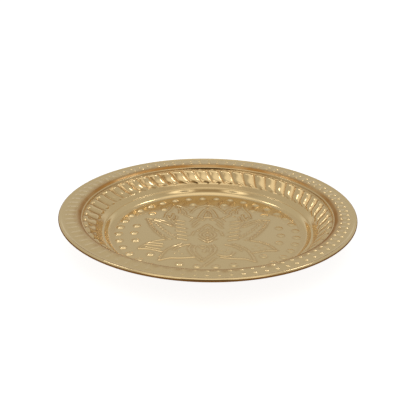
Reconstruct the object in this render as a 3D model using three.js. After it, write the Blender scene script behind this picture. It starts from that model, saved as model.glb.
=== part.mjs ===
// Round brass tray with a fluted wall: one pressed sheet pan whose edge is curled round a wire.
// Millimetres, +Z up. The origin is on the tray's axis, in the plane that it rests on.

import * as THREE from 'three';

// Overall sizes.
const OUTER_DIAMETER = 250;
const OVERALL_HEIGHT = 23.5;

// The sheet, and the wire that stiffens its edge.
const SHEET = 0.6;
const WIRE_DIAMETER = 1.3;
const WIRE_CLEARANCE = 0.25;
const CURL_SWEEP = 270;

// The rim: from the outer edge of the roll in to the edge where the moulding steps down.
const RIM_WIDTH = 16.6;
const RIM_OVER_WIRE = 0.85;
const ROLL_BLEND = 2.5;
const RIM_EDGE_ROUND = 1.4;

// The moulding inside the rim: a riser, a narrow lip, and a recess that meets the tops of the flutes.
const RISER_RUN = 2;
const RISER_FALL = 1.75;
const LIP_RUN = 0.9;
const LIP_FALL = 0.25;
const RECESS_RUN = 0.8;
const RECESS_FALL = 2.2;

// The flutes: convex lobes that lean clockwise, seen from above, on their way down the wall.
const FLUTES = 55;
const FLUTE_RUN = 11.7;
const FLUTE_HEIGHT = 2.3;
const FLUTE_FOOT_HEIGHT = 1.4;
const FLUTE_SAG = 0.25;
const FLUTE_LEAN = 5;

// The plain cove under the flutes, and the moulded step down to the floor.
const COVE_RUN = 4.4;
const COVE_RISE = 4;
const COVE_BEND = { run: 0.55, rise: 0.3 };
const STEP_RUN = 7.6;
const STEP_HEIGHT = 4.9;

// How finely the round shapes are faceted.
const PLAIN_CORNERS = 96;
const CORNERS_PER_FLUTE = 6;
const CURL_FACES = 6;
const STEP_FACES = 3;
const WIRE_SIDES = 6;

// Places that follow from the sizes above.
const ROLL_RADIUS = WIRE_DIAMETER / 2 + WIRE_CLEARANCE + SHEET;
const ROLL_CENTRE = new THREE.Vector2(OUTER_DIAMETER / 2 - ROLL_RADIUS, OVERALL_HEIGHT - ROLL_RADIUS);
const RIM_LEVEL = ROLL_CENTRE.y + RIM_OVER_WIRE;
const RIM_EDGE = new THREE.Vector2(OUTER_DIAMETER / 2 - RIM_WIDTH, RIM_LEVEL);
const LIP_OUTER = new THREE.Vector2(RIM_EDGE.x - RISER_RUN, RIM_EDGE.y - RISER_FALL);
const LIP_INNER = new THREE.Vector2(LIP_OUTER.x - LIP_RUN, LIP_OUTER.y - LIP_FALL);
const FLUTE_TOP = new THREE.Vector2(LIP_INNER.x - RECESS_RUN, LIP_INNER.y - RECESS_FALL);
const LEDGE = new THREE.Vector2(FLUTE_TOP.x - FLUTE_RUN - COVE_RUN, SHEET + STEP_HEIGHT);
const FLUTE_FOOT = new THREE.Vector2(LEDGE.x + COVE_RUN, LEDGE.y + COVE_RISE);
const FLOOR_EDGE = new THREE.Vector2(LEDGE.x - STEP_RUN, SHEET);

// Where each row of fluted corners lies on the way down a flute, and its share of the lobe's height.
const FLUTE_ROWS = [
  { along: 0.88, share: 0.75 },
  { along: 0.45, share: 1 },
  { along: 0.12, share: 0.85 },
];

const brass = new THREE.MeshStandardMaterial({
  name: 'polished_brass',
  color: 0xd8b878,
  roughness: 0.22,
  metalness: 1,
});

const wireBrass = new THREE.MeshStandardMaterial({
  name: 'drawn_wire',
  color: 0xb08a4c,
  roughness: 0.45,
  metalness: 1,
});

// A row of the pan's upper face: a corner of the profile, with what the flutes do to it.
function row(x, y, { share = 0, along = 0 } = {}) {
  return { place: new THREE.Vector2(x, y), share, along };
}

// The upper face from the middle of the floor out to the top of the roll.
function upperRows() {
  const rows = [row(0, SHEET)];
  for (let face = 0; face <= STEP_FACES; face += 1) {
    const t = face / STEP_FACES;
    const rise = STEP_HEIGHT * THREE.MathUtils.smoothstep(t, 0, 1);
    rows.push(row(FLOOR_EDGE.x + STEP_RUN * t, FLOOR_EDGE.y + rise, { along: 1 }));
  }
  rows.push(row(LEDGE.x + COVE_RUN * COVE_BEND.run, LEDGE.y + COVE_RISE * COVE_BEND.rise, { along: 1 }));
  rows.push(row(FLUTE_FOOT.x, FLUTE_FOOT.y, { along: 1 }));
  for (const { along, share } of FLUTE_ROWS) {
    const place = new THREE.Vector2().lerpVectors(FLUTE_TOP, FLUTE_FOOT, along);
    const sag = FLUTE_SAG * Math.sin(Math.PI * along);
    rows.push(row(place.x, place.y - sag, { share, along }));
  }
  rows.push(row(FLUTE_TOP.x, FLUTE_TOP.y));
  rows.push(row(LIP_INNER.x, LIP_INNER.y));
  rows.push(row(LIP_OUTER.x, LIP_OUTER.y));
  const downRiser = new THREE.Vector2().subVectors(LIP_OUTER, RIM_EDGE);
  const roundFoot = downRiser.setLength(RIM_EDGE_ROUND).add(RIM_EDGE);
  rows.push(row(roundFoot.x, roundFoot.y));
  rows.push(row(RIM_EDGE.x + RIM_EDGE_ROUND, RIM_LEVEL));
  rows.push(row(ROLL_CENTRE.x - ROLL_BLEND, RIM_LEVEL));
  rows.push(row(ROLL_CENTRE.x, ROLL_CENTRE.y + ROLL_RADIUS));
  return rows;
}

// The direction across the sheet at one row, from its lower face to its upper face.
function across(rows, index) {
  const before = rows[Math.max(index - 1, 0)].place;
  const after = rows[Math.min(index + 1, rows.length - 1)].place;
  if (index === 0 || index === rows.length - 1) {
    return new THREE.Vector2(0, 1);
  }
  const here = rows[index].place;
  const inward = new THREE.Vector2().subVectors(here, before).normalize();
  const outward = new THREE.Vector2().subVectors(after, here).normalize();
  const along = inward.add(outward).normalize();
  return new THREE.Vector2(-along.y, along.x);
}

// One ring of corners round the axis. A fluted ring rises in lobes, and leans with the flutes.
function ring(place, direction, { share, along }) {
  const corners = share > 0 ? FLUTES * CORNERS_PER_FLUTE : PLAIN_CORNERS;
  const height = share * THREE.MathUtils.lerp(FLUTE_HEIGHT, FLUTE_FOOT_HEIGHT, along);
  const lean = THREE.MathUtils.degToRad(-FLUTE_LEAN * along);
  const points = [];
  for (let corner = 0; corner < corners; corner += 1) {
    const angle = lean + (2 * Math.PI * corner) / corners;
    const acrossLobe = (corner % CORNERS_PER_FLUTE) / CORNERS_PER_FLUTE;
    const lift = height * Math.sin(Math.PI * acrossLobe);
    const radius = place.x + direction.x * lift;
    const level = place.y + direction.y * lift;
    points.push(new THREE.Vector3(radius * Math.cos(angle), radius * Math.sin(angle), level));
  }
  return points;
}

// A plain ring on the curl, at one angle round the wire.
function curlRing(radius, degrees) {
  const angle = THREE.MathUtils.degToRad(degrees);
  const place = new THREE.Vector2(radius * Math.cos(angle), radius * Math.sin(angle)).add(ROLL_CENTRE);
  return ring(place, new THREE.Vector2(0, 1), { share: 0, along: 0 });
}

// Triangles between two rings, which may differ in their number of corners.
function stitch(first, second, indices) {
  let a = 0;
  let b = 0;
  while (a < first.length || b < second.length) {
    const nextA = first[(a + 1) % first.length];
    const nextB = second[(b + 1) % second.length];
    const hereA = first[a % first.length];
    const hereB = second[b % second.length];
    if ((b + 0.5) / second.length < (a + 0.5) / first.length) {
      indices.push(hereA, hereB, nextB);
      b += 1;
    } else {
      indices.push(hereA, hereB, nextA);
      a += 1;
    }
  }
}

// Triangles from a ring to one corner on the axis.
function closeOnAxis(loop, centre, facingUp, indices) {
  for (let corner = 0; corner < loop.length; corner += 1) {
    const here = loop[corner];
    const next = loop[(corner + 1) % loop.length];
    if (facingUp) {
      indices.push(centre, here, next);
    } else {
      indices.push(centre, next, here);
    }
  }
}

// The pan: its upper face, round the outside of the curl, back inside it, and its lower face.
function panGeometry() {
  const rows = upperRows();
  const rings = [];
  for (let index = 1; index < rows.length; index += 1) {
    rings.push(ring(rows[index].place, across(rows, index), rows[index]));
  }
  for (let face = 1; face <= CURL_FACES; face += 1) {
    rings.push(curlRing(ROLL_RADIUS, 90 - (CURL_SWEEP * face) / CURL_FACES));
  }
  for (let face = CURL_FACES; face >= 0; face -= 1) {
    rings.push(curlRing(ROLL_RADIUS - SHEET, 90 - (CURL_SWEEP * face) / CURL_FACES));
  }
  for (let index = rows.length - 2; index > 0; index -= 1) {
    const direction = across(rows, index);
    const below = rows[index].place.clone().addScaledVector(direction, -SHEET);
    below.y = Math.max(below.y, 0);
    rings.push(ring(below, direction, rows[index]));
  }

  const corners = [];
  const numbered = rings.map((points) => points.map((point) => corners.push(point) - 1));
  const upperCentre = corners.push(new THREE.Vector3(0, 0, SHEET)) - 1;
  const lowerCentre = corners.push(new THREE.Vector3(0, 0, 0)) - 1;

  const indices = [];
  closeOnAxis(numbered[0], upperCentre, true, indices);
  for (let index = 1; index < numbered.length; index += 1) {
    stitch(numbered[index - 1], numbered[index], indices);
  }
  closeOnAxis(numbered[numbered.length - 1], lowerCentre, false, indices);

  const geometry = new THREE.BufferGeometry().setFromPoints(corners);
  geometry.setIndex(indices);
  geometry.computeVertexNormals();
  return geometry;
}

// The wire: a plain ring, level with the middle of the roll.
function wireGeometry() {
  return new THREE.TorusGeometry(ROLL_CENTRE.x, WIRE_DIAMETER / 2, WIRE_SIDES, PLAIN_CORNERS);
}

const pan = new THREE.Mesh(panGeometry(), brass);
pan.name = 'tray_pan';

const wire = new THREE.Mesh(wireGeometry(), wireBrass);
wire.name = 'edge_wire';
wire.position.z = ROLL_CENTRE.y;

const tray = new THREE.Group();
tray.add(pan, wire);

export default tray;
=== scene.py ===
import math

import bpy
import numpy as np
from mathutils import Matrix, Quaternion, Vector
from mathutils.geometry import delaunay_2d_cdt


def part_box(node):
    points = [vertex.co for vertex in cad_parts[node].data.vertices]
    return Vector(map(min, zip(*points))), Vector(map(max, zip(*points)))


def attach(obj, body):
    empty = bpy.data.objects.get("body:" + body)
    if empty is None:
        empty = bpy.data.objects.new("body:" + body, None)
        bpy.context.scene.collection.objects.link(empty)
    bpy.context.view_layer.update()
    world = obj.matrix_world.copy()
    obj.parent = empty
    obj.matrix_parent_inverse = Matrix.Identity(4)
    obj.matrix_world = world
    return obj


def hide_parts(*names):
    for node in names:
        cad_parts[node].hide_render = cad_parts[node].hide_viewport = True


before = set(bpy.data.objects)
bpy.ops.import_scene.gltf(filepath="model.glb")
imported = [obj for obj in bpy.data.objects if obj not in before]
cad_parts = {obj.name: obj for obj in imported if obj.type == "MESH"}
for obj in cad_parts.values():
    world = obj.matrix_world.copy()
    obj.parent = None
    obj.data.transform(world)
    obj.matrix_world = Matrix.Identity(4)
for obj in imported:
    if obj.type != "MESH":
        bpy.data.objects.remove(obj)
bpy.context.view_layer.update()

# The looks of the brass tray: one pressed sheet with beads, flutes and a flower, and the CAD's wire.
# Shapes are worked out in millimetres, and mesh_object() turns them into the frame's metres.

rng = np.random.default_rng(7)

MM = 0.001
TURN = 2 * math.pi

# Driving sizes from the frame.
_, PAN_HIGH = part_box("tray_pan")
WIRE_LOW, WIRE_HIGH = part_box("edge_wire")
OUTER_RADIUS = PAN_HIGH.x / MM
TOP = PAN_HIGH.z / MM
ROLL_HEIGHT = (WIRE_LOW.z + WIRE_HIGH.z) / 2 / MM
ROLL = TOP - ROLL_HEIGHT
ROLL_AT = OUTER_RADIUS - ROLL

# The pan's section, which follows the CAD's closely, with smoother bends.
SHEET = 0.6
RIM_LEVEL = ROLL_HEIGHT + 0.8
RIM_EDGE = OUTER_RADIUS - 16.6
LIP_OUTER = RIM_EDGE - 2.0
LIP_INNER = LIP_OUTER - 0.9
LIP_LEVEL = RIM_LEVEL - 1.75
LIP_FALL = 0.25
FLUTE_TOP = LIP_INNER - 0.8
FLUTE_TOP_LEVEL = LIP_LEVEL - LIP_FALL - 2.2
FLUTE_FOOT = FLUTE_TOP - 11.7
LEDGE = FLUTE_FOOT - 4.4
LEDGE_LEVEL = SHEET + 4.9
FLUTE_FOOT_LEVEL = LEDGE_LEVEL + 4.0
FLOOR_EDGE = LEDGE - 7.6
RIM_START = RIM_EDGE + 2.0
STEP_ROUND = 6.0
LEDGE_ROUND = 0.5
COVE_ROUND = 0.8
LIP_INNER_ROUND = 0.5
LIP_OUTER_ROUND = 0.7
SHOULDER_ROUND = 4.0
ROLL_FILLET = 5.0
HOOK_END = -180

# The flutes. Head, tail and taper are shares of a flute's length, where its ends are rounded and it sinks.
# The hook is the share of its lean that comes near the foot. Flatness and fullness are powers in its curve.
FLUTES = 55
FLUTE_CORNERS = 9
FLUTE_ROWS = 18
UNDER_FLUTE_CORNERS = 6
UNDER_FLUTE_ROWS = 9
PLAIN_CORNERS = FLUTES * 6
FLUTE_HEIGHT = 2.3
FLUTE_FOOT_HEIGHT = 1.4
FLUTE_LEAN = math.radians(5)
LEAN_HOOK = 0.22
FLUTE_TAPER = 0.6
FLUTE_SAG = 0.25
FLUTE_HEAD = 0.2
FLUTE_TAIL = 0.27
LOBE_FLATNESS = 2.2
LOBE_FULLNESS = 0.8

# Beads: how many in a row, where the row is, and the dome's radius and height. The foot is in radii.
RIM_BEADS = 84
RIM_BEAD_ROWS = (117.3, 111.2)
RIM_BEAD = (1.85, 0.92)
FLOOR_BEADS = 36
FLOOR_BEAD_ROW = 76.0
FLOOR_BEAD_START = math.radians(4)
FLOOR_BEAD = (3.3, 1.3)
INNER_BEADS = 27
INNER_BEAD_ROW = 62.8
INNER_BEAD_START = math.radians(169.5)
SMALL_BEAD = (1.2, 0.5)
BEAD_CLEARANCE = 4.2
BEAD_FOOT = 1.35
BEAD_SOFTNESS = 0.12

# The rim's beads are worn most where this direction points, and each is a little out of place.
RIM_WORN_SIDE = (-0.9, -0.44)
RIM_WEAR = 0.6
RIM_BEAD_DEPTHS = (0.8, 1)
RIM_BEAD_STRAY = 0.12

# How deep the die struck the floor: the mean, and how much it falls off from left to right over a reach.
STRIKE = 0.8
STRIKE_SLANT = 0.22
STRIKE_REACH = 60

# Embossed lines: half their width, and their height.
LINE = (1.2, 0.75)
FINE_LINE = (0.9, 0.5)
RIDGE_HEIGHT = 0.24

# How far a line strays from its place, and over what length.
STRAY_REACH = (0.1, 0.3)
STRAY_LENGTH = 9

# How deep the embossing is on the lower face, as a share of its height on the upper one.
REVERSE = 0.9

# The points of a flat stretch: how far apart the grid's are, and the side of a square that may hold only one.
GRID_SPACING = 2.2
POINT_SPACING = 0.42

# How dark each part is made, from 0 to 1, and how far the streaks run out over the rim. The step's foot, the
# creases, the recess, the lip, the shoulder and the rim's streaks get painted shade; the wall and the rim are
# a little darker all over; the lower face and the curl are tarnished.
FOOT_PAINTED_SHADE = 0.15
WALL_DARKENING = 0.12
CREASE_PAINTED_SHADE = 0.78
RECESS_PAINTED_SHADE = 0.4
LIP_PAINTED_SHADE = 0.2
RIM_DARKENING = 0.06
STREAK_LENGTHS = (1.5, 6.5)
UNDER_TARNISH = 0.4
UNDER_RIM_TARNISH = 0.3
CURL_TARNISH = 0.6


def smooth(t):
    """0 to 1 with level ends."""
    t = np.clip(t, 0, 1)
    return t * t * (3 - 2 * t)


def through(points, spacing=0.6):
    """A smooth line through a few points, as evenly spaced points."""
    points = np.array(points, float)
    if len(points) > 2:
        ends = [2 * points[0] - points[1], 2 * points[-1] - points[-2]]
        knots = np.vstack([ends[:1], points, ends[1:]])
        t = np.linspace(0, 1, 12, endpoint=False)[:, None]
        pieces = []
        for a, b, c, d in zip(knots, knots[1:], knots[2:], knots[3:]):
            square = 2 * a - 5 * b + 4 * c - d
            cube = 3 * b - a - 3 * c + d
            pieces.append(b + 0.5 * t * (c - a + t * (square + t * cube)))
        points = np.vstack(pieces + [points[-1:]])
    lengths = np.concatenate([[0], np.cumsum(np.linalg.norm(np.diff(points, axis=0), axis=1))])
    count = max(3, round(lengths[-1] / spacing) + 1)
    at = np.linspace(0, lengths[-1], count)
    return np.column_stack([np.interp(at, lengths, points[:, axis]) for axis in range(2)])


def sideways(line):
    """Unit vectors across a line, at each of its points."""
    along = np.gradient(line, axis=0)
    along /= np.linalg.norm(along, axis=1)[:, None]
    return np.column_stack([-along[:, 1], along[:, 0]])


def zigzag(points, teeth, reach=0.75):
    """A line that swings from side to side about a smooth one."""
    line = through(points, 0.5)
    swing = np.arccos(np.cos(np.linspace(0, teeth * TURN, len(line)))) / math.pi * 2 - 1
    return line + sideways(line) * (reach * swing)[:, None]


def circle(centre, radius):
    """A closed line round a centre."""
    turn = np.linspace(0, TURN, 24)
    return np.array(centre) + radius * np.column_stack([np.cos(turn), np.sin(turn)])


# The flower, in millimetres from the floor's centre; +Y is the way that its great petal points.
# Each of these lines is embossed on both sides of the middle.
PAIRED_LINES = {
    "great petal": [(0.4, 59.3), (7.6, 55.2), (12.8, 48.2), (15.8, 41.0)],
    "arch in the great petal": [(0.6, 51.4), (3.4, 48.0), (5.8, 42.0), (7.9, 34.6), (8.9, 28.4)],
    "small arch": [(0.3, 44.0), (1.9, 39.0), (3.2, 31.5)],
    "foot of the arch": [(7.6, 29.6), (4.4, 26.0), (2.7, 28.8)],
    "middle arch": [(0, 16.6), (3.2, 11.5), (5.6, 3.6)],
    "diamond": [(0, 0.6), (3.4, -5.2), (0, -11.0)],
    "outer diamond": [(0, 6.4), (6.6, -4.6), (0, -14.8)],
    "heart of the flower": [(0, -18.4), (3.4, -15.6), (6.8, -11.8)],
    "bud, inner side": [(28.2, 57.6), (23.0, 53.6), (18.6, 49.4), (15.6, 45.0)],
    "bud, outer side": [(32.4, 60.4), (32.0, 54.5), (34.6, 46.4), (37.4, 39.4), (38.4, 30.6)],
    "bud, fold": [(23.3, 47.0), (20.6, 42.1), (20.0, 36.9), (15.8, 31.8), (11.8, 29.2)],
    "bud, vein": [(27.4, 52.5), (26.0, 46.4), (25.6, 40.0)],
    "bud, first cup": [(36.2, 32.8), (34.0, 26.8), (31.9, 31.6), (31.4, 37.2)],
    "bud, second cup": [(31.8, 25.4), (30.4, 22.0), (28.8, 26.2), (28.2, 32.4)],
    "leaf, upper side": [(30.6, 12.8), (33.8, 18.6), (39.4, 23.8), (46.0, 26.8), (54.0, 26.6)],
    "leaf, upper vein": [(30.8, 12.0), (36.9, 17.0), (41.9, 21.4), (47.8, 25.0)],
    "leaf, lower side": [(54.0, 26.6), (51.6, 17.8), (48.6, 9.0), (44.6, 0.6), (40.2, -7.2), (35.2, -14.0)],
    "lower leaf, upper side": [(36.4, -14.4), (42.8, -16.8), (48.6, -20.8), (53.2, -26.4), (56.6, -32.8)],
    "lower leaf, lower side": [(56.6, -32.8), (49.0, -32.8), (42.6, -34.8), (36.8, -37.4)],
    "lower petal, upper side": [(38.4, -52.6), (36.4, -43.0), (33.4, -34.4), (28.6, -27.4), (21.8, -21.6)],
    "lower petal, vein": [(27.8, -33.6), (24.4, -28.4), (19.2, -24.6), (14.6, -22.6)],
    "lower petal, lower side": [(38.4, -52.6), (30.2, -48.4), (23.6, -48.2), (17.0, -47.6), (10.4, -46.4)],
}
PAIRED_ZIGZAGS = {
    "leaf, midrib": ([(49.4, 23.6), (44.8, 17.6), (41.4, 11.2), (37.6, 4.2), (32.8, -3.0), (27.6, -10.0)], 9),
    "leaf, lower vein": ([(51.2, 19.2), (47.8, 9.6), (44.0, 1.0), (38.6, -7.0), (31.6, -14.2)], 8),
}
PAIRED_DASHES = [
    [(11.4, 29.6), (14.8, 22.6)],
    [(8.2, 23.8), (13.0, 16.2)],
    [(8.6, 18.2), (12.8, 9.8)],
    [(4.2, 9.4), (9.0, 3.0)],
    [(11.2, 1.8), (13.2, -5.6)],
]
SINGLE_LINES = {
    "small arch, foot": [(-3.2, 31.5), (3.2, 31.5)],
    "small arch, seed": [(0.3, 40.6), (0.3, 36.0)],
    "bottom petal, left side": [(-13.6, -24.0), (-15.6, -31.0), (-13.6, -39.0), (-8.6, -47.6), (-4.6, -53.4)],
    "bottom petal, left vein": [(-9.8, -25.6), (-11.4, -32.0), (-9.6, -39.8), (-4.6, -48.6)],
    "bottom petal, right side": [(4.2, -23.6), (6.4, -30.0), (6.0, -36.4), (3.4, -41.6), (-4.0, -53.4)],
    "bottom petal, right vein": [(0.4, -25.4), (2.8, -31.0), (2.2, -37.0)],
    "bottom petal, seed": [(-1.8, -32.6), (-2.6, -37.6)],
    "stem": [(6.2, -47.2), (1.8, -54.4), (-2.8, -61.2)],
    "left leaf, first dash": [(-46.6, -20.8), (-37.6, -22.6)],
    "left leaf, second dash": [(-50.4, -24.8), (-37.2, -27.6)],
    "left leaf, third dash": [(-50.6, -29.0), (-39.0, -32.8)],
    "right petal, curl": [(8.4, -41.8), (11.8, -43.6), (15.8, -44.0), (19.6, -41.8), (21.8, -37.0)],
}
SMALL_BEADS = [
    (37.2, -29.8), (42.4, -28.4), (47.6, -28.6), (39.8, -24.0), (45.2, -24.2),
    (11.4, -34.0), (14.6, -36.8), (16.6, -32.4),
    (-26.4, -39.4), (-20.6, -40.4), (-23.4, -35.6),
    (-23.2, 37.4), (23.8, 33.2),
]

# The rungs beside the petals, each a step below the last.
RUNGS = 6
FIRST_RUNG = np.array([20.6, 22.2])
RUNG_STEP = np.array([-0.6, -7.4])
RUNG_BEND = np.array([4, 1.6])
RUNG_REACH = np.array([7.6, 2.6])
RUNG_HOOK = np.array([0.5, 1.6])

# The little ring in the lowest petal, as its centre and radius.
RING = ((-3.8, -27.6), 2.5)


def flower_lines():
    """Every embossed line of the flower, as (points, half width, height)."""
    lines = []
    for side in (1, -1):
        flip = np.array([side, 1])
        for points in PAIRED_LINES.values():
            lines.append((through(points) * flip, *LINE))
        for points, teeth in PAIRED_ZIGZAGS.values():
            lines.append((zigzag(points, teeth) * flip, *FINE_LINE))
        for points in PAIRED_DASHES:
            lines.append((through(points) * flip, *LINE))
        for rung in range(RUNGS):
            inner = FIRST_RUNG + RUNG_STEP * rung
            outer = inner + RUNG_REACH
            lines.append((through([inner, inner + RUNG_BEND, outer, outer + RUNG_HOOK]) * flip, *LINE))
    for points in SINGLE_LINES.values():
        lines.append((through(points), *LINE))
    lines.append((circle(*RING), *FINE_LINE))
    return [(wander(points), half_width, height) for points, half_width, height in lines]


def wander(points):
    """A line as a hand-cut die has it: a little out of place and uneven."""
    phase = rng.uniform(0, TURN, 2)
    reach = rng.uniform(*STRAY_REACH, 2)
    return points + np.column_stack([
        reach[0] * np.sin(points[:, 1] / STRAY_LENGTH + phase[0]),
        reach[1] * np.sin(points[:, 0] / STRAY_LENGTH + phase[1]),
    ])


def bead_row(count, radius, start):
    """Evenly spaced places round the tray's axis."""
    turn = start + TURN * np.arange(count) / count
    return radius * np.column_stack([np.cos(turn), np.sin(turn)])


def strike(across):
    """How deep the die struck, from full on the left to shallow on the right."""
    return STRIKE - STRIKE_SLANT * np.clip(across / STRIKE_REACH, -1, 1)


def floor_beads(lines):
    """Every bead on the floor, as (centre, radius, height). The inner row leaves room for the flower."""
    radius, height = FLOOR_BEAD
    beads = [(centre, radius, height) for centre in bead_row(FLOOR_BEADS, FLOOR_BEAD_ROW, FLOOR_BEAD_START)]
    drawn = np.vstack([line[0] for line in lines])
    for centre in bead_row(INNER_BEADS, INNER_BEAD_ROW, INNER_BEAD_START):
        if np.linalg.norm(drawn - centre, axis=1).min() > BEAD_CLEARANCE:
            beads.append((centre, radius, height))
    beads += [(np.array(centre), *SMALL_BEAD) for centre in SMALL_BEADS]
    return [(centre, radius, height * strike(centre[0])) for centre, radius, height in beads]


def rim_beads():
    """Every bead on the rim, each a little out of its place."""
    beads = []
    for row_radius in RIM_BEAD_ROWS:
        for centre in bead_row(RIM_BEADS, row_radius, 0):
            radius, height = RIM_BEAD
            worn = RIM_WEAR * smooth(centre @ RIM_WORN_SIDE / row_radius)
            struck = (1 - worn) * rng.uniform(*RIM_BEAD_DEPTHS)
            beads.append((centre + rng.normal(0, RIM_BEAD_STRAY, 2), radius, height * struck))
    return beads


def dome(distance, radius, height):
    """The height of a bead: a round cap with a soft foot."""
    ball = (radius * radius + height * height) / (2 * height)
    cap = np.sqrt(np.maximum(ball * ball - distance * distance, 0)) - (ball - height)
    softened = 0.5 * (cap + np.sqrt(cap * cap + BEAD_SOFTNESS * BEAD_SOFTNESS))
    return softened * smooth((BEAD_FOOT * radius - distance) / ((BEAD_FOOT - 1) * radius))


def distance_to(line, points):
    """How far each point is from a line."""
    nearest = np.full(len(points), np.inf)
    for start, end in zip(line, line[1:]):
        along = end - start
        share = np.clip((points - start) @ along / (along @ along), 0, 1)
        away = points - start - share[:, None] * along
        nearest = np.minimum(nearest, np.einsum("ij,ij->i", away, away))
    return np.sqrt(nearest)


def relief(points, lines, beads):
    """How high the embossing stands at each point."""
    height = np.zeros(len(points))
    for line, half_width, top in lines:
        near = np.all((points > line.min(0) - half_width) & (points < line.max(0) + half_width), axis=1)
        if near.any():
            across = np.minimum(distance_to(line, points[near]) / half_width, 1)
            struck = top * strike(points[near][:, 0])
            height[near] = np.maximum(height[near], struck * np.cos(across * math.pi / 2) ** 2)
    for centre, radius, top in beads:
        near = np.all(np.abs(points - centre) < BEAD_FOOT * radius, axis=1)
        if near.any():
            distance = np.linalg.norm(points[near] - centre, axis=1)
            height[near] = np.maximum(height[near], dome(distance, radius, top))
    return height


WAVE_LENGTHS = (16, 50)
WAVE_HEIGHT = 0.02
WAVES = [(rng.uniform(0, TURN), rng.uniform(0, TURN), rng.uniform(*WAVE_LENGTHS)) for _ in range(9)]


def waviness(points):
    """The slight unevenness of beaten sheet, in millimetres."""
    height = np.zeros(len(points))
    for heading, phase, length in WAVES:
        along = points[:, 0] * math.cos(heading) + points[:, 1] * math.sin(heading)
        height += np.sin(along * TURN / length + phase) * length / WAVE_LENGTHS[1] * WAVE_HEIGHT
    return height


def thinned(points, cell):
    """The points with crowded ones left out: one to a square of the given size."""
    squares = np.floor(points / cell).astype(np.int64)
    _, first = np.unique(squares, axis=0, return_index=True)
    return points[np.sort(first)]


def fine_points(lines, beads, detail):
    """Points along the lines and round the beads. Detail is 1 for the upper face and 2 for the lower one."""
    points = []
    if detail == 1:
        across = (0, -0.5, 0.5, -1, 1, -1.3, 1.3)
        rings = (0, 0.3, 0.55, 0.75, 0.9, 1.02, 1.18, 1.36)
        corner_share = 1
    else:
        across = (0, -1, 1)
        rings = (0, 0.5, 0.85, 1.2)
        corner_share = 0.7
    for line, half_width, _ in lines:
        side = sideways(line)
        for share in across:
            points.append((line + side * share * half_width)[::detail])
    for centre, radius, _ in beads:
        for ring in rings:
            corners = max(1, round((6 + 12 * ring) * corner_share)) if ring else 1
            points.append(centre + bead_row(corners, ring * radius, ring * 7))
    return np.vstack(points)


def grid(reach, spacing):
    """Points in a staggered grid over a square."""
    steps = np.arange(-reach, reach + spacing, spacing)
    x, y = np.meshgrid(steps, steps * math.sqrt(3) / 2)
    x = x + (np.arange(len(steps)) % 2)[:, None] * spacing / 2
    return np.column_stack([x.ravel(), y.ravel()])


class Sheet:
    """The pan's mesh while it is built: corners in millimetres, faces, and how dark each corner is made,
    which is mostly painted shade on the upper face and tarnished brass below.
    """

    def __init__(self):
        self.corners = []
        self.faces = []
        self.darkenings = []
        self.count = 0

    def add(self, points, darkening):
        """Adds corners and returns their numbers."""
        numbers = np.arange(self.count, self.count + len(points))
        self.corners.append(points)
        self.darkenings.append(np.broadcast_to(darkening, len(points)))
        self.count += len(points)
        return numbers

    def stitch(self, first, second):
        """Faces between two rings, which may differ in their number of corners."""
        if len(first) == len(second):
            for a, b, c, d in zip(first, np.roll(first, -1), np.roll(second, -1), second):
                self.faces.append((a, b, c, d)[::-1])
            return
        a = 0
        b = 0
        while a < len(first) or b < len(second):
            here_a = first[a % len(first)]
            here_b = second[b % len(second)]
            if (b + 0.5) / len(second) < (a + 0.5) / len(first):
                self.faces.append((here_a, here_b, second[(b + 1) % len(second)]))
                b += 1
            else:
                self.faces.append((here_a, here_b, first[(a + 1) % len(first)]))
                a += 1

    def stitch_all(self, rings):
        """Faces between each ring and the next."""
        for first, second in zip(rings, rings[1:]):
            self.stitch(first, second)

    def spread(self, rings, points, level, darkening, facing_up):
        """Faces over a flat stretch. Its edge rings are there already, and the points between are added."""
        corners = np.vstack(self.corners)
        edge = np.concatenate(rings)
        inside = np.column_stack([points, level])
        numbers = np.concatenate([edge, self.add(inside, darkening)])
        flat = np.vstack([corners[edge][:, :2], points])
        edges = []
        start = 0
        for ring in rings:
            around = np.arange(start, start + len(ring))
            edges += list(zip(around.tolist(), np.roll(around, -1).tolist()))
            start += len(ring)
        places = [Vector(place) for place in flat]
        found, _, faces, origins, _, _ = delaunay_2d_cdt(places, edges, [], 0, 1e-7, True)
        source = [numbers[origin[0]] for origin in origins]
        hole = np.linalg.norm(flat[:len(rings[0])], axis=1).min() if len(rings) > 1 else 0
        for face in faces:
            middle = sum((found[corner] for corner in face), Vector((0, 0))) / 3
            if middle.length > hole:
                order = [source[corner] for corner in face]
                self.faces.append(tuple(order if facing_up else order[::-1]))

    def mesh_object(self, name):
        """The sheet as a Blender object, in metres."""
        mesh = bpy.data.meshes.new(name)
        corners = np.vstack(self.corners) * MM
        mesh.from_pydata(corners.tolist(), [], [tuple(int(c) for c in face) for face in self.faces])
        attribute = mesh.attributes.new("darkening", "FLOAT", "POINT")
        attribute.data.foreach_set("value", np.concatenate(self.darkenings).astype(np.float32))
        mesh.shade_smooth()
        mesh.update()
        made = bpy.data.objects.new(name, mesh)
        bpy.context.scene.collection.objects.link(made)
        return made


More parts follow.
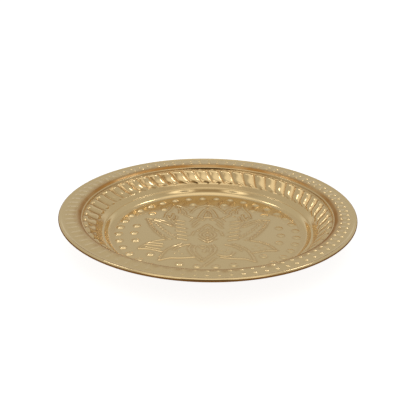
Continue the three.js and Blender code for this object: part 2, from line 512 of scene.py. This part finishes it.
def outline(corners, turn_step=14, length_step=1.4):
    """A section through corners given as (radius, height, rounding), with its roundings as arcs."""
    points = [np.array(corners[0][:2], float)]
    for before, here, after in zip(corners, corners[1:], corners[2:]):
        place = np.array(here[:2], float)
        back = np.array(before[:2]) - place
        ahead = np.array(after[:2]) - place
        back /= np.linalg.norm(back)
        ahead /= np.linalg.norm(ahead)
        turn = math.pi - math.acos(np.clip(back @ ahead, -1, 1))
        trim = here[2] * math.tan(turn / 2)
        start = place + back * trim
        end = place + ahead * trim
        steps = max(2, math.ceil(math.degrees(turn) / turn_step))
        middle = place + (back + ahead) / np.linalg.norm(back + ahead) * here[2] / math.cos(turn / 2)
        first = start - middle
        last = end - middle
        for step in range(steps + 1):
            share = step / steps
            swung = (math.sin((1 - share) * turn) * first + math.sin(share * turn) * last) / math.sin(turn)
            points.append(middle + swung)
    points.append(np.array(corners[-1][:2], float))
    filled = [points[0]]
    for place in points[1:]:
        gap = place - filled[-1]
        pieces = max(1, math.ceil(np.linalg.norm(gap) / length_step))
        start = filled[-1]
        for piece in range(1, pieces + 1):
            filled.append(start + gap * piece / pieces)
    return np.array(filled)


def across_section(section):
    """Unit vectors across the sheet along a section, from its lower face to its upper face."""
    along = np.gradient(section, axis=0)
    along /= np.linalg.norm(along, axis=1)[:, None]
    return np.column_stack([-along[:, 1], along[:, 0]])


def ring_points(places, levels, turns):
    """Corners round the axis, at a radius and a level that may change from one to the next."""
    heights = np.broadcast_to(levels, turns.shape)
    return np.column_stack([places * np.cos(turns), places * np.sin(turns), heights])


def plain_ring(radius, level, corners):
    """The corners of one plain ring, of the same radius and level all round."""
    turns = TURN * np.arange(corners) / corners
    return ring_points(np.full(corners, radius), level, turns)


def fall_off(share):
    """How far a lobe has fallen away near its end: all the way at 0, and not at all from 1 on."""
    return (1 - min(share, 1)) ** 2


def lean(down):
    """How far round the flutes have swung, at a share of the way down them."""
    return -FLUTE_LEAN * ((1 - LEAN_HOOK) * down + LEAN_HOOK * down ** 6)


def step_section():
    """From the floor's edge up the moulded step and the plain cove to the foot of the flutes."""
    return outline([
        (FLOOR_EDGE - 1.4, SHEET, 0),
        (LEDGE - 4.1, SHEET, STEP_ROUND),
        (LEDGE - 0.5, LEDGE_LEVEL + 0.15, LEDGE_ROUND),
        (LEDGE + 0.9, LEDGE_LEVEL - 0.1, COVE_ROUND),
        (FLUTE_FOOT, FLUTE_FOOT_LEVEL, 0),
    ])


def moulding_section():
    """From the tops of the flutes up the recess, over the lip and up the riser to the rim."""
    return outline([
        (FLUTE_TOP, FLUTE_TOP_LEVEL, 0),
        (LIP_INNER, LIP_LEVEL - LIP_FALL, LIP_INNER_ROUND),
        (LIP_OUTER, LIP_LEVEL, LIP_OUTER_ROUND),
        (RIM_EDGE, RIM_LEVEL, SHOULDER_ROUND),
        (RIM_START, RIM_LEVEL, 0),
    ], length_step=1.3)


def plain_rings(sheet, section, corners, turn, offset, darkening):
    """Plain rings along a section, set off into the sheet. A section that runs inwards has a minus offset."""
    rings = []
    turns = turn + TURN * np.arange(corners) / corners
    for place, direction in zip(section, across_section(section)):
        at = place - direction * offset
        points = ring_points(np.full(corners, at[0]), at[1], turns)
        if offset == 0:
            points[:, 2] += waviness(points[:, :2])
        points[:, 2] = np.maximum(points[:, 2], 0)
        rings.append(sheet.add(points, darkening(place)))
    return rings


def flute_rings(sheet, corners_each, rows, offset):
    """Rings up the flutes, from their foot to their top. Each is a round lobe with a domed head and tail."""
    start = np.array([FLUTE_FOOT, FLUTE_FOOT_LEVEL])
    end = np.array([FLUTE_TOP, FLUTE_TOP_LEVEL])
    slope = (end - start) / np.linalg.norm(end - start)
    direction = np.array([-slope[1], slope[0]])
    rings = []
    corners = FLUTES * corners_each
    across = np.arange(corners) % corners_each / corners_each
    for row in range(1, rows):
        up = 0.5 - 0.5 * math.cos(math.pi * row / rows)
        down = 1 - up
        turns = lean(down) + TURN * np.arange(corners) / corners
        height = FLUTE_HEIGHT + (FLUTE_FOOT_HEIGHT - FLUTE_HEIGHT) * smooth(down / FLUTE_TAPER)
        lobe = 1 - np.abs(2 * across - 1) ** LOBE_FLATNESS
        ends = fall_off(down / FLUTE_HEAD) + fall_off(up / FLUTE_TAIL)
        domed = np.maximum(lobe - ends, 0) ** LOBE_FULLNESS
        lift = height * domed - FLUTE_SAG * math.sin(math.pi * up)
        place = start + (end - start) * up
        at = place[None, :] + (lift - offset)[:, None] * direction[None, :]
        points = ring_points(at[:, 0], at[:, 1], turns)
        # Painted shade darkens the valleys between the lobes, over a slight darkening of the whole wall.
        crease = (1 - lobe) ** 3
        rings.append(sheet.add(points, WALL_DARKENING + CREASE_PAINTED_SHADE * crease))
    return rings


def step_darkening(place):
    """Painted shade darkens the step's foot, and the cove above its ledge is a little darker."""
    if place[0] > LEDGE + 1:
        return WALL_DARKENING
    # Painted shade in the corner at the step's foot.
    return FOOT_PAINTED_SHADE if place[1] < SHEET + 1.2 else 0.0


def moulding_painted_shade(place):
    """Painted shade darkens the recess, and a heavy painted dark reflection darkens the shoulder under the
    rim; the lip between them is darkened less.
    """
    if place[0] < LIP_INNER - 0.3:
        return RECESS_PAINTED_SHADE
    if place[0] < LIP_OUTER - 0.1:
        return LIP_PAINTED_SHADE
    # The shoulder's heavy brown is a painted dark reflection, fading out over the rim's start.
    return 1 - 0.6 * smooth((place[0] - RIM_EDGE + 0.6) / 2.6)


def hollow_below(_place):
    """The lower face is tarnished evenly, as one that is never polished."""
    return UNDER_TARNISH


def rim_points(detail):
    """Points over the rim between its two edge rings."""
    rows, per_bead = (9, 10) if detail == 1 else (5, 6)
    outer = ROLL_AT - roll_reach()
    points = []
    for row in range(1, rows):
        radius = RIM_START + (outer - RIM_START) * row / rows
        points.append(bead_row(RIM_BEADS * per_bead, radius, 0))
    return np.vstack(points)


def roll_reach():
    """How far in from the roll's centre the fillet that leads up to it meets the rim."""
    rise = RIM_LEVEL - ROLL_HEIGHT + ROLL_FILLET
    return math.sqrt((ROLL + ROLL_FILLET) ** 2 - rise ** 2)


def roll_section(offset):
    """From the rim over the fillet and round the wire to the hook's end, at a depth into the sheet."""
    reach = roll_reach()
    fillet_turn = math.atan2(reach, RIM_LEVEL - ROLL_HEIGHT + ROLL_FILLET)
    middle = np.array([ROLL_AT - reach, RIM_LEVEL + ROLL_FILLET])
    points = []
    for share in np.linspace(0, 1, 6)[1:]:
        turn = share * fillet_turn
        points.append(middle + (ROLL_FILLET + offset) * np.array([math.sin(turn), -math.cos(turn)]))
    roll_middle = np.array([ROLL_AT, ROLL_HEIGHT])
    begin = 90 + math.degrees(fillet_turn)
    for turn in np.radians(np.linspace(begin, HOOK_END, 19)[1:]):
        points.append(roll_middle + (ROLL - offset) * np.array([math.cos(turn), math.sin(turn)]))
    return points


def rim_relief(points, beads):
    """The rim's beads, and the soft ridges that run out through each pair of them."""
    radius = np.linalg.norm(points, axis=1)
    turn = np.arctan2(points[:, 1], points[:, 0])
    ridge = ((1 + np.cos(turn * RIM_BEADS)) / 2) ** 2
    fade = smooth((radius - RIM_EDGE - 0.6) / 2) * smooth((ROLL_AT - roll_reach() - radius) / 2.5)
    return np.maximum(relief(points, [], beads), RIDGE_HEIGHT * ridge * fade)


def rim_painted_shade(points):
    """The shoulder's painted shade, which runs out between the ridges in streaks of uneven length, over a
    faint darkening of the whole rim.
    """
    radius = np.linalg.norm(points, axis=1)
    turn = np.arctan2(points[:, 1], points[:, 0])
    lengths = rng.uniform(*STREAK_LENGTHS, RIM_BEADS)
    streak = np.floor(turn / TURN * RIM_BEADS).astype(int) % RIM_BEADS
    # Painted shade lies between the ridges, where the streaks run.
    between = (1 - np.cos(turn * RIM_BEADS)) / 2
    fade = 1 - smooth((radius - RIM_EDGE - 1.6) / lengths[streak])
    return RIM_DARKENING + (0.1 + 0.5 * between) * fade


def add_upper_rings(sheet):
    """The upper face from the floor's edge out to the rim. Returns its first ring and its last one."""
    rings = plain_rings(sheet, step_section(), PLAIN_CORNERS, lean(1), 0, step_darkening)
    rings += flute_rings(sheet, FLUTE_CORNERS, FLUTE_ROWS, 0)
    rings += plain_rings(sheet, moulding_section(), PLAIN_CORNERS, 0, 0, moulding_painted_shade)
    sheet.stitch_all(rings)
    return rings[0], rings[-1]


def add_roll(sheet):
    """The roll, from the rim round to the hook's end and back inside it. Returns its first and last rings."""
    corners = RIM_BEADS * 4
    start = ROLL_AT - roll_reach()
    rings = [sheet.add(plain_ring(start, RIM_LEVEL, corners), 0)]
    for place in roll_section(0):
        rings.append(sheet.add(plain_ring(place[0], place[1], corners), 0))
    for place in roll_section(SHEET)[::-1][::2]:
        rings.append(sheet.add(plain_ring(place[0], place[1], corners), CURL_TARNISH))
    rings.append(sheet.add(plain_ring(start, RIM_LEVEL - SHEET, corners), UNDER_RIM_TARNISH))
    sheet.stitch_all(rings)
    return rings[0], rings[-1]


def add_lower_rings(sheet):
    """The lower face from the rim in to the floor's edge. Returns its first ring and its last one."""
    rings = plain_rings(sheet, moulding_section()[::-1][::2], PLAIN_CORNERS, 0, -SHEET, hollow_below)
    rings += flute_rings(sheet, UNDER_FLUTE_CORNERS, UNDER_FLUTE_ROWS, SHEET)[::-1]
    rings += plain_rings(sheet, step_section()[::-1][::2], PLAIN_CORNERS, lean(1), -SHEET, hollow_below)
    sheet.stitch_all(rings)
    return rings[0], rings[-1]


def fill_floor(sheet, ring, lines, beads, detail):
    """The embossed floor inside a ring. Detail is 1 for the upper face and 2 for the lower one."""
    radius = step_section()[0][0]
    points = np.vstack([fine_points(lines, beads, detail), grid(radius, GRID_SPACING * detail)])
    points = points[np.linalg.norm(points, axis=1) < radius - 0.5]
    points = thinned(points, POINT_SPACING * detail ** 1.5)
    height = relief(points, lines, beads)
    if detail == 1:
        level = SHEET + height + waviness(points)
        sheet.spread([ring], points, level, painted_shade_at_relief_feet(points, lines, beads), True)
    else:
        sheet.spread([ring], points, REVERSE * height, UNDER_TARNISH, False)


def fill_rim(sheet, rings, beads, detail):
    """The beaded rim between two rings. Detail is 1 for the upper face and 2 for the lower one."""
    points = np.vstack([fine_points([], beads, detail), rim_points(detail)])
    radius = np.linalg.norm(points, axis=1)
    points = points[(radius > RIM_START + 0.3) & (radius < ROLL_AT - roll_reach() - 0.3)]
    points = thinned(points, POINT_SPACING * detail ** 1.5)
    height = rim_relief(points, beads)
    if detail == 1:
        sheet.spread(rings, points, RIM_LEVEL + height + waviness(points), rim_painted_shade(points), True)
    else:
        sheet.spread(rings, points, RIM_LEVEL - SHEET + REVERSE * height, UNDER_RIM_TARNISH, False)


def pan_mesh():
    """The pan: its upper face, the curl round the wire, and its lower face with the embossing in reverse."""
    sheet = Sheet()
    lines = flower_lines()
    on_floor = floor_beads(lines)
    on_rim = rim_beads()
    floor_ring, rim_ring = add_upper_rings(sheet)
    roll_ring, roll_end = add_roll(sheet)
    under_rim_ring, under_floor_ring = add_lower_rings(sheet)
    fill_floor(sheet, floor_ring, lines, on_floor, 1)
    fill_floor(sheet, under_floor_ring, lines, on_floor, 2)
    fill_rim(sheet, [rim_ring, roll_ring], on_rim, 1)
    fill_rim(sheet, [under_rim_ring, roll_end], on_rim, 2)
    return sheet.mesh_object("brass_pan")


def painted_shade_at_relief_feet(points, lines, beads):
    """How much painted shade each point of the floor gets at the foot of a bead or a line."""
    darkening = np.zeros(len(points))
    # Painted shade round the feet of the lines and the beads stands in for their dark shaded sides.
    for line, half_width, _ in lines:
        reach = 2 * half_width
        near = np.all((points > line.min(0) - reach) & (points < line.max(0) + reach), axis=1)
        distance = distance_to(line, points[near])
        darkening[near] = np.maximum(darkening[near], np.exp(-((distance / half_width - 1.0) / 0.4) ** 2))
    for centre, radius, _ in beads:
        near = np.all(np.abs(points - centre) < 2 * radius, axis=1)
        distance = np.linalg.norm(points[near] - centre, axis=1)
        darkening[near] = np.maximum(darkening[near], 0.6 * np.exp(-((distance / radius - 1.05) / 0.18) ** 2))
    return 0.5 * darkening


# Materials.

BRASS_TONES = ((0.88, 0.67, 0.37), (0.91, 0.71, 0.41))
# This brown is painted shade on the upper face, in its creases, recesses, relief feet and shoulder, and
# tarnished brass on the lower face.
TARNISH_AND_PAINTED_SHADE = (0.50, 0.25, 0.07)
WIRE_TONES = ((0.40, 0.24, 0.09), (0.62, 0.42, 0.19))


def new_material(name):
    """A material with its nodes, its links and its shader."""
    material = bpy.data.materials.new(name)
    material.use_nodes = True
    nodes = material.node_tree.nodes
    return material, nodes, material.node_tree.links, nodes["Principled BSDF"]


def noise_node(nodes, links, vector, scale, detail=3.0):
    """Cloudy noise over a vector."""
    noise = nodes.new("ShaderNodeTexNoise")
    noise.inputs["Scale"].default_value = scale
    noise.inputs["Detail"].default_value = detail
    links.new(vector, noise.inputs["Vector"])
    return noise.outputs["Fac"]


def math_node(nodes, links, operation, first, second=0):
    """One step of arithmetic on two values, each a number or a socket."""
    node = nodes.new("ShaderNodeMath")
    node.operation = operation
    for socket, value in zip(node.inputs, (first, second)):
        if isinstance(value, (int, float)):
            socket.default_value = value
        else:
            links.new(value, socket)
    return node.outputs[0]


def range_node(nodes, links, value, low, high, to_low=0, to_high=1):
    """A value mapped from one range to another, and held at its ends."""
    node = nodes.new("ShaderNodeMapRange")
    node.inputs["From Min"].default_value = low
    node.inputs["From Max"].default_value = high
    node.inputs["To Min"].default_value = to_low
    node.inputs["To Max"].default_value = to_high
    links.new(value, node.inputs["Value"])
    return node.outputs[0]


def mix_colours(nodes, links, factor, first, second):
    """Two colours mixed by a factor, each a tuple or a socket."""
    node = nodes.new("ShaderNodeMix")
    node.data_type = "RGBA"
    links.new(factor, node.inputs["Factor"])
    for socket, value in ((node.inputs[6], first), (node.inputs[7], second)):
        if isinstance(value, tuple):
            socket.default_value = (*value, 1)
        else:
            links.new(value, socket)
    return node.outputs[2]


def bump_node(nodes, links, height, strength):
    """Fine relief from a height, as a normal."""
    bump = nodes.new("ShaderNodeBump")
    bump.inputs["Strength"].default_value = strength
    bump.inputs["Distance"].default_value = 0.0002
    links.new(height, bump.inputs["Height"])
    return bump.outputs["Normal"]


def brass_material():
    """Polished brass with faint lathe circles, a cloudy lacquer tone, and brown painted shade in its creases,
    recesses, relief feet and shoulder; on the lower face and in the curl the brown is tarnished brass.
    """
    material, nodes, links, shader = new_material("polished_brass_look")
    coordinates = nodes.new("ShaderNodeTexCoord").outputs["Object"]
    cloud = noise_node(nodes, links, coordinates, 28)
    speckle = noise_node(nodes, links, coordinates, 260, 2)

    darkening = nodes.new("ShaderNodeAttribute")
    darkening.attribute_name = "darkening"
    patchy = range_node(nodes, links, cloud, 0.3, 0.7, 0.55, 1.15)
    # Painted shade: the darkening attribute mixes the brown in, patchily.
    shade_and_tarnish = math_node(nodes, links, "MULTIPLY", darkening.outputs["Fac"], patchy)
    tone = mix_colours(nodes, links, cloud, *BRASS_TONES)
    colour = mix_colours(nodes, links, shade_and_tarnish, tone, TARNISH_AND_PAINTED_SHADE)
    links.new(colour, shader.inputs["Base Color"])
    shader.inputs["Metallic"].default_value = 1

    worn = range_node(nodes, links, speckle, 0.3, 0.7, 0.10, 0.14)
    dulled = math_node(nodes, links, "MULTIPLY", shade_and_tarnish, 0.32)
    links.new(math_node(nodes, links, "ADD", worn, dulled), shader.inputs["Roughness"])

    apart = nodes.new("ShaderNodeSeparateXYZ")
    links.new(coordinates, apart.inputs[0])
    square_x = math_node(nodes, links, "MULTIPLY", apart.outputs[0], apart.outputs[0])
    square_y = math_node(nodes, links, "MULTIPLY", apart.outputs[1], apart.outputs[1])
    radius = math_node(nodes, links, "SQRT", math_node(nodes, links, "ADD", square_x, square_y))
    rings = nodes.new("ShaderNodeTexNoise")
    rings.noise_dimensions = "1D"
    rings.inputs["Scale"].default_value = 900
    links.new(radius, rings.inputs["W"])
    grain = math_node(nodes, links, "MULTIPLY", speckle, 0.5)
    height = math_node(nodes, links, "ADD", rings.outputs["Fac"], grain)
    links.new(bump_node(nodes, links, height, 0.015), shader.inputs["Normal"])
    return material


def wire_material():
    """Drawn brass wire, dull and darkened, with the marks of the die along it."""
    material, nodes, links, shader = new_material("drawn_wire_look")
    coordinates = nodes.new("ShaderNodeTexCoord").outputs["Object"]
    cloud = noise_node(nodes, links, coordinates, 90)
    colour = mix_colours(nodes, links, cloud, *WIRE_TONES)
    links.new(colour, shader.inputs["Base Color"])
    shader.inputs["Metallic"].default_value = 1
    links.new(range_node(nodes, links, cloud, 0.3, 0.7, 0.35, 0.55), shader.inputs["Roughness"])
    marks = noise_node(nodes, links, coordinates, 900, 2)
    links.new(bump_node(nodes, links, marks, 0.3), shader.inputs["Normal"])
    return material


def floor_material():
    """Pale paper. Glossy rays see it as a painted reflection of dark, shaded ground, not as the paper itself.
    """
    material, nodes, links, shader = new_material("pale_floor")
    shader.inputs["Base Color"].default_value = (0.35, 0.35, 0.35, 1)
    shader.inputs["Roughness"].default_value = 0.9
    shader.inputs["Specular IOR Level"].default_value = 0.0
    shader.inputs["Emission Color"].default_value = (1, 1, 1, 1)
    shader.inputs["Emission Strength"].default_value = 0.9
    # A painted reflection: to glossy rays the floor is a dark warm emission.
    painted_ground_reflection = nodes.new("ShaderNodeEmission")
    painted_ground_reflection.inputs["Color"].default_value = (*SHADED_GROUND, 1)
    mirrored = nodes.new("ShaderNodeLightPath").outputs["Is Glossy Ray"]
    mix = nodes.new("ShaderNodeMixShader")
    links.new(mirrored, mix.inputs[0])
    links.new(shader.outputs[0], mix.inputs[1])
    links.new(painted_ground_reflection.outputs[0], mix.inputs[2])
    links.new(mix.outputs[0], nodes["Material Output"].inputs["Surface"])
    return material


# The studio: the tent's colours, by where in it they are, and the directions of its bright and dark patches.
# Each of these directions is mirrored to the tray's other side.

# The dark warm colour of shaded ground: the tent's lowest band, and the painted reflection that the floor
# shows to glossy rays.
SHADED_GROUND = (0.175, 0.10, 0.038)
TENT_BACK = (0.51, 0.50, 0.455)
TENT_FRONT = (0.30, 0.22, 0.12)
TENT_TOP = (0.92, 0.89, 0.80)
SWEEP = (0.66, 0.66, 0.63)
GLOW = (0.45, -0.62, 0.64)
GLOW_COLOUR = (1.3, 1.25, 1.12)
GAP = (0.389, -0.588, 0.709)
DARK = (0.02, 0.012, 0.006)
PAPER_WHITE = (1.0, 1.0, 1.0)
FLOOR_DEPTH = 0.0002

# A ray that reaches the tent after one reflection has depth 2, and after another one it has 3.
FIRST_REFLECTION = 2.5


def add_floor():
    """A wide sheet of pale paper just under the tray."""
    bpy.ops.mesh.primitive_plane_add(size=8, location=(0, 0, -FLOOR_DEPTH))
    floor = bpy.context.object
    floor.name = "studio_floor"
    floor.data.materials.append(floor_material())


def add_lamp(name, direction, distance, size, radiance):
    """A square lamp that faces the tray. The camera doesn't see it, and its light isn't passed on."""
    light = bpy.data.lights.new(name, "AREA")
    light.shape = "SQUARE"
    light.size = size
    light.energy = radiance * math.pi * size * size
    light.cycles.max_bounces = 0
    lamp = bpy.data.objects.new(name, light)
    bpy.context.scene.collection.objects.link(lamp)
    towards = Vector(direction).normalized()
    lamp.location = towards * distance
    lamp.rotation_mode = "QUATERNION"
    lamp.rotation_quaternion = towards.to_track_quat("Z", "Y")
    lamp.visible_camera = False


def dot_node(nodes, links, vector, direction):
    """How nearly a vector points in a fixed direction: 1 when it does."""
    node = nodes.new("ShaderNodeVectorMath")
    node.operation = "DOT_PRODUCT"
    links.new(vector, node.inputs[0])
    node.inputs[1].default_value = Vector(direction).normalized()
    return node.outputs["Value"]


def tent_walls(nodes, links, depth, up):
    """The tent's walls: warm in front, with a bright sweep low at the back, and dusky near the ground."""
    in_front = range_node(nodes, links, depth, -0.15, -0.8)
    wall = mix_colours(nodes, links, in_front, TENT_BACK, TENT_FRONT)
    at_the_back = range_node(nodes, links, depth, 0.3, 0.7)
    low_down = range_node(nodes, links, up, 0.32, 0.22)
    sweep = math_node(nodes, links, "MULTIPLY", at_the_back, low_down)
    wall = mix_colours(nodes, links, sweep, wall, SWEEP)
    above_the_edge = range_node(nodes, links, up, 0.03, 0.2)
    return mix_colours(nodes, links, above_the_edge, SHADED_GROUND, wall)


def dark_zone(nodes, links, beside, depth, up):
    """How deep a direction lies in the dark zone, which is narrow, low and in front."""
    narrow = range_node(nodes, links, beside, 0.3, 0.45, 1, 0)
    low = range_node(nodes, links, up, 0.52, 0.4, 0, 0.92)
    ahead = range_node(nodes, links, depth, -0.1, -0.35)
    return math_node(nodes, links, "MULTIPLY", narrow, math_node(nodes, links, "MULTIPLY", low, ahead))


def add_world():
    """The tent round the tray. Its top, glows, gaps and dark zone show only in first reflections."""
    world = bpy.data.worlds.new("white_tent")
    bpy.context.scene.world = world
    world.use_nodes = True
    nodes = world.node_tree.nodes
    links = world.node_tree.links
    direction = nodes.new("ShaderNodeTexCoord").outputs["Generated"]
    apart = nodes.new("ShaderNodeSeparateXYZ")
    links.new(direction, apart.inputs[0])
    side, depth, up = apart.outputs
    beside = math_node(nodes, links, "ABSOLUTE", side)
    mirrored = nodes.new("ShaderNodeCombineXYZ")
    for socket, value in zip(mirrored.inputs, (beside, depth, up)):
        links.new(value, socket)

    light_path = nodes.new("ShaderNodeLightPath")
    once = math_node(nodes, links, "LESS_THAN", light_path.outputs["Ray Depth"], FIRST_REFLECTION)
    overhead = range_node(nodes, links, up, 0.82, 0.95)
    glow = range_node(nodes, links, dot_node(nodes, links, mirrored.outputs[0], GLOW), 0.96, 0.986)
    gap = range_node(nodes, links, dot_node(nodes, links, mirrored.outputs[0], GAP), 0.995, 0.998, 0, 0.9)
    dark = dark_zone(nodes, links, beside, depth, up)

    tent = tent_walls(nodes, links, depth, up)
    for share, colour in ((overhead, TENT_TOP), (glow, GLOW_COLOUR), (gap, DARK), (dark, DARK)):
        tent = mix_colours(nodes, links, math_node(nodes, links, "MULTIPLY", share, once), tent, colour)
    seen = mix_colours(nodes, links, light_path.outputs["Is Camera Ray"], tent, PAPER_WHITE)
    links.new(seen, nodes["Background"].inputs["Color"])


def add_camera():
    """A camera at the photograph's viewing angle, raised over the near edge and rolled a little."""
    elevation = math.radians(23.6)
    distance = 0.6546
    aim_above_rim = 0.0015
    roll_turn = math.radians(0.79)
    rim_centre = Vector((0, 0, ROLL_HEIGHT * MM))
    back = Vector((0, -math.cos(elevation), math.sin(elevation)))
    above = Vector((0, math.sin(elevation), math.cos(elevation)))
    data = bpy.data.cameras.new("camera")
    data.lens = 66.8
    data.sensor_width = 36
    camera = bpy.data.objects.new("camera", data)
    bpy.context.scene.collection.objects.link(camera)
    camera.location = rim_centre + back * distance
    aim = rim_centre + above * aim_above_rim
    facing = (aim - camera.location).to_track_quat("-Z", "Y")
    roll = Quaternion((0, 0, 1), roll_turn)
    camera.rotation_mode = "QUATERNION"
    camera.rotation_quaternion = facing @ roll
    bpy.context.scene.camera = camera


add_camera()
add_floor()
add_lamp("left_lamp", (-0.45, 0.35, 0.82), distance=1.3, size=0.2, radiance=3)
add_lamp("right_lamp", (0.45, 0.35, 0.82), distance=1.3, size=0.2, radiance=4.5)
add_world()
bpy.context.scene.view_settings.view_transform = "Standard"

pan = pan_mesh()
pan.data.materials.append(brass_material())
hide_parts("tray_pan")
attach(pan, "root")

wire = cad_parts["edge_wire"]
wire.data.materials.clear()
wire.data.materials.append(wire_material())
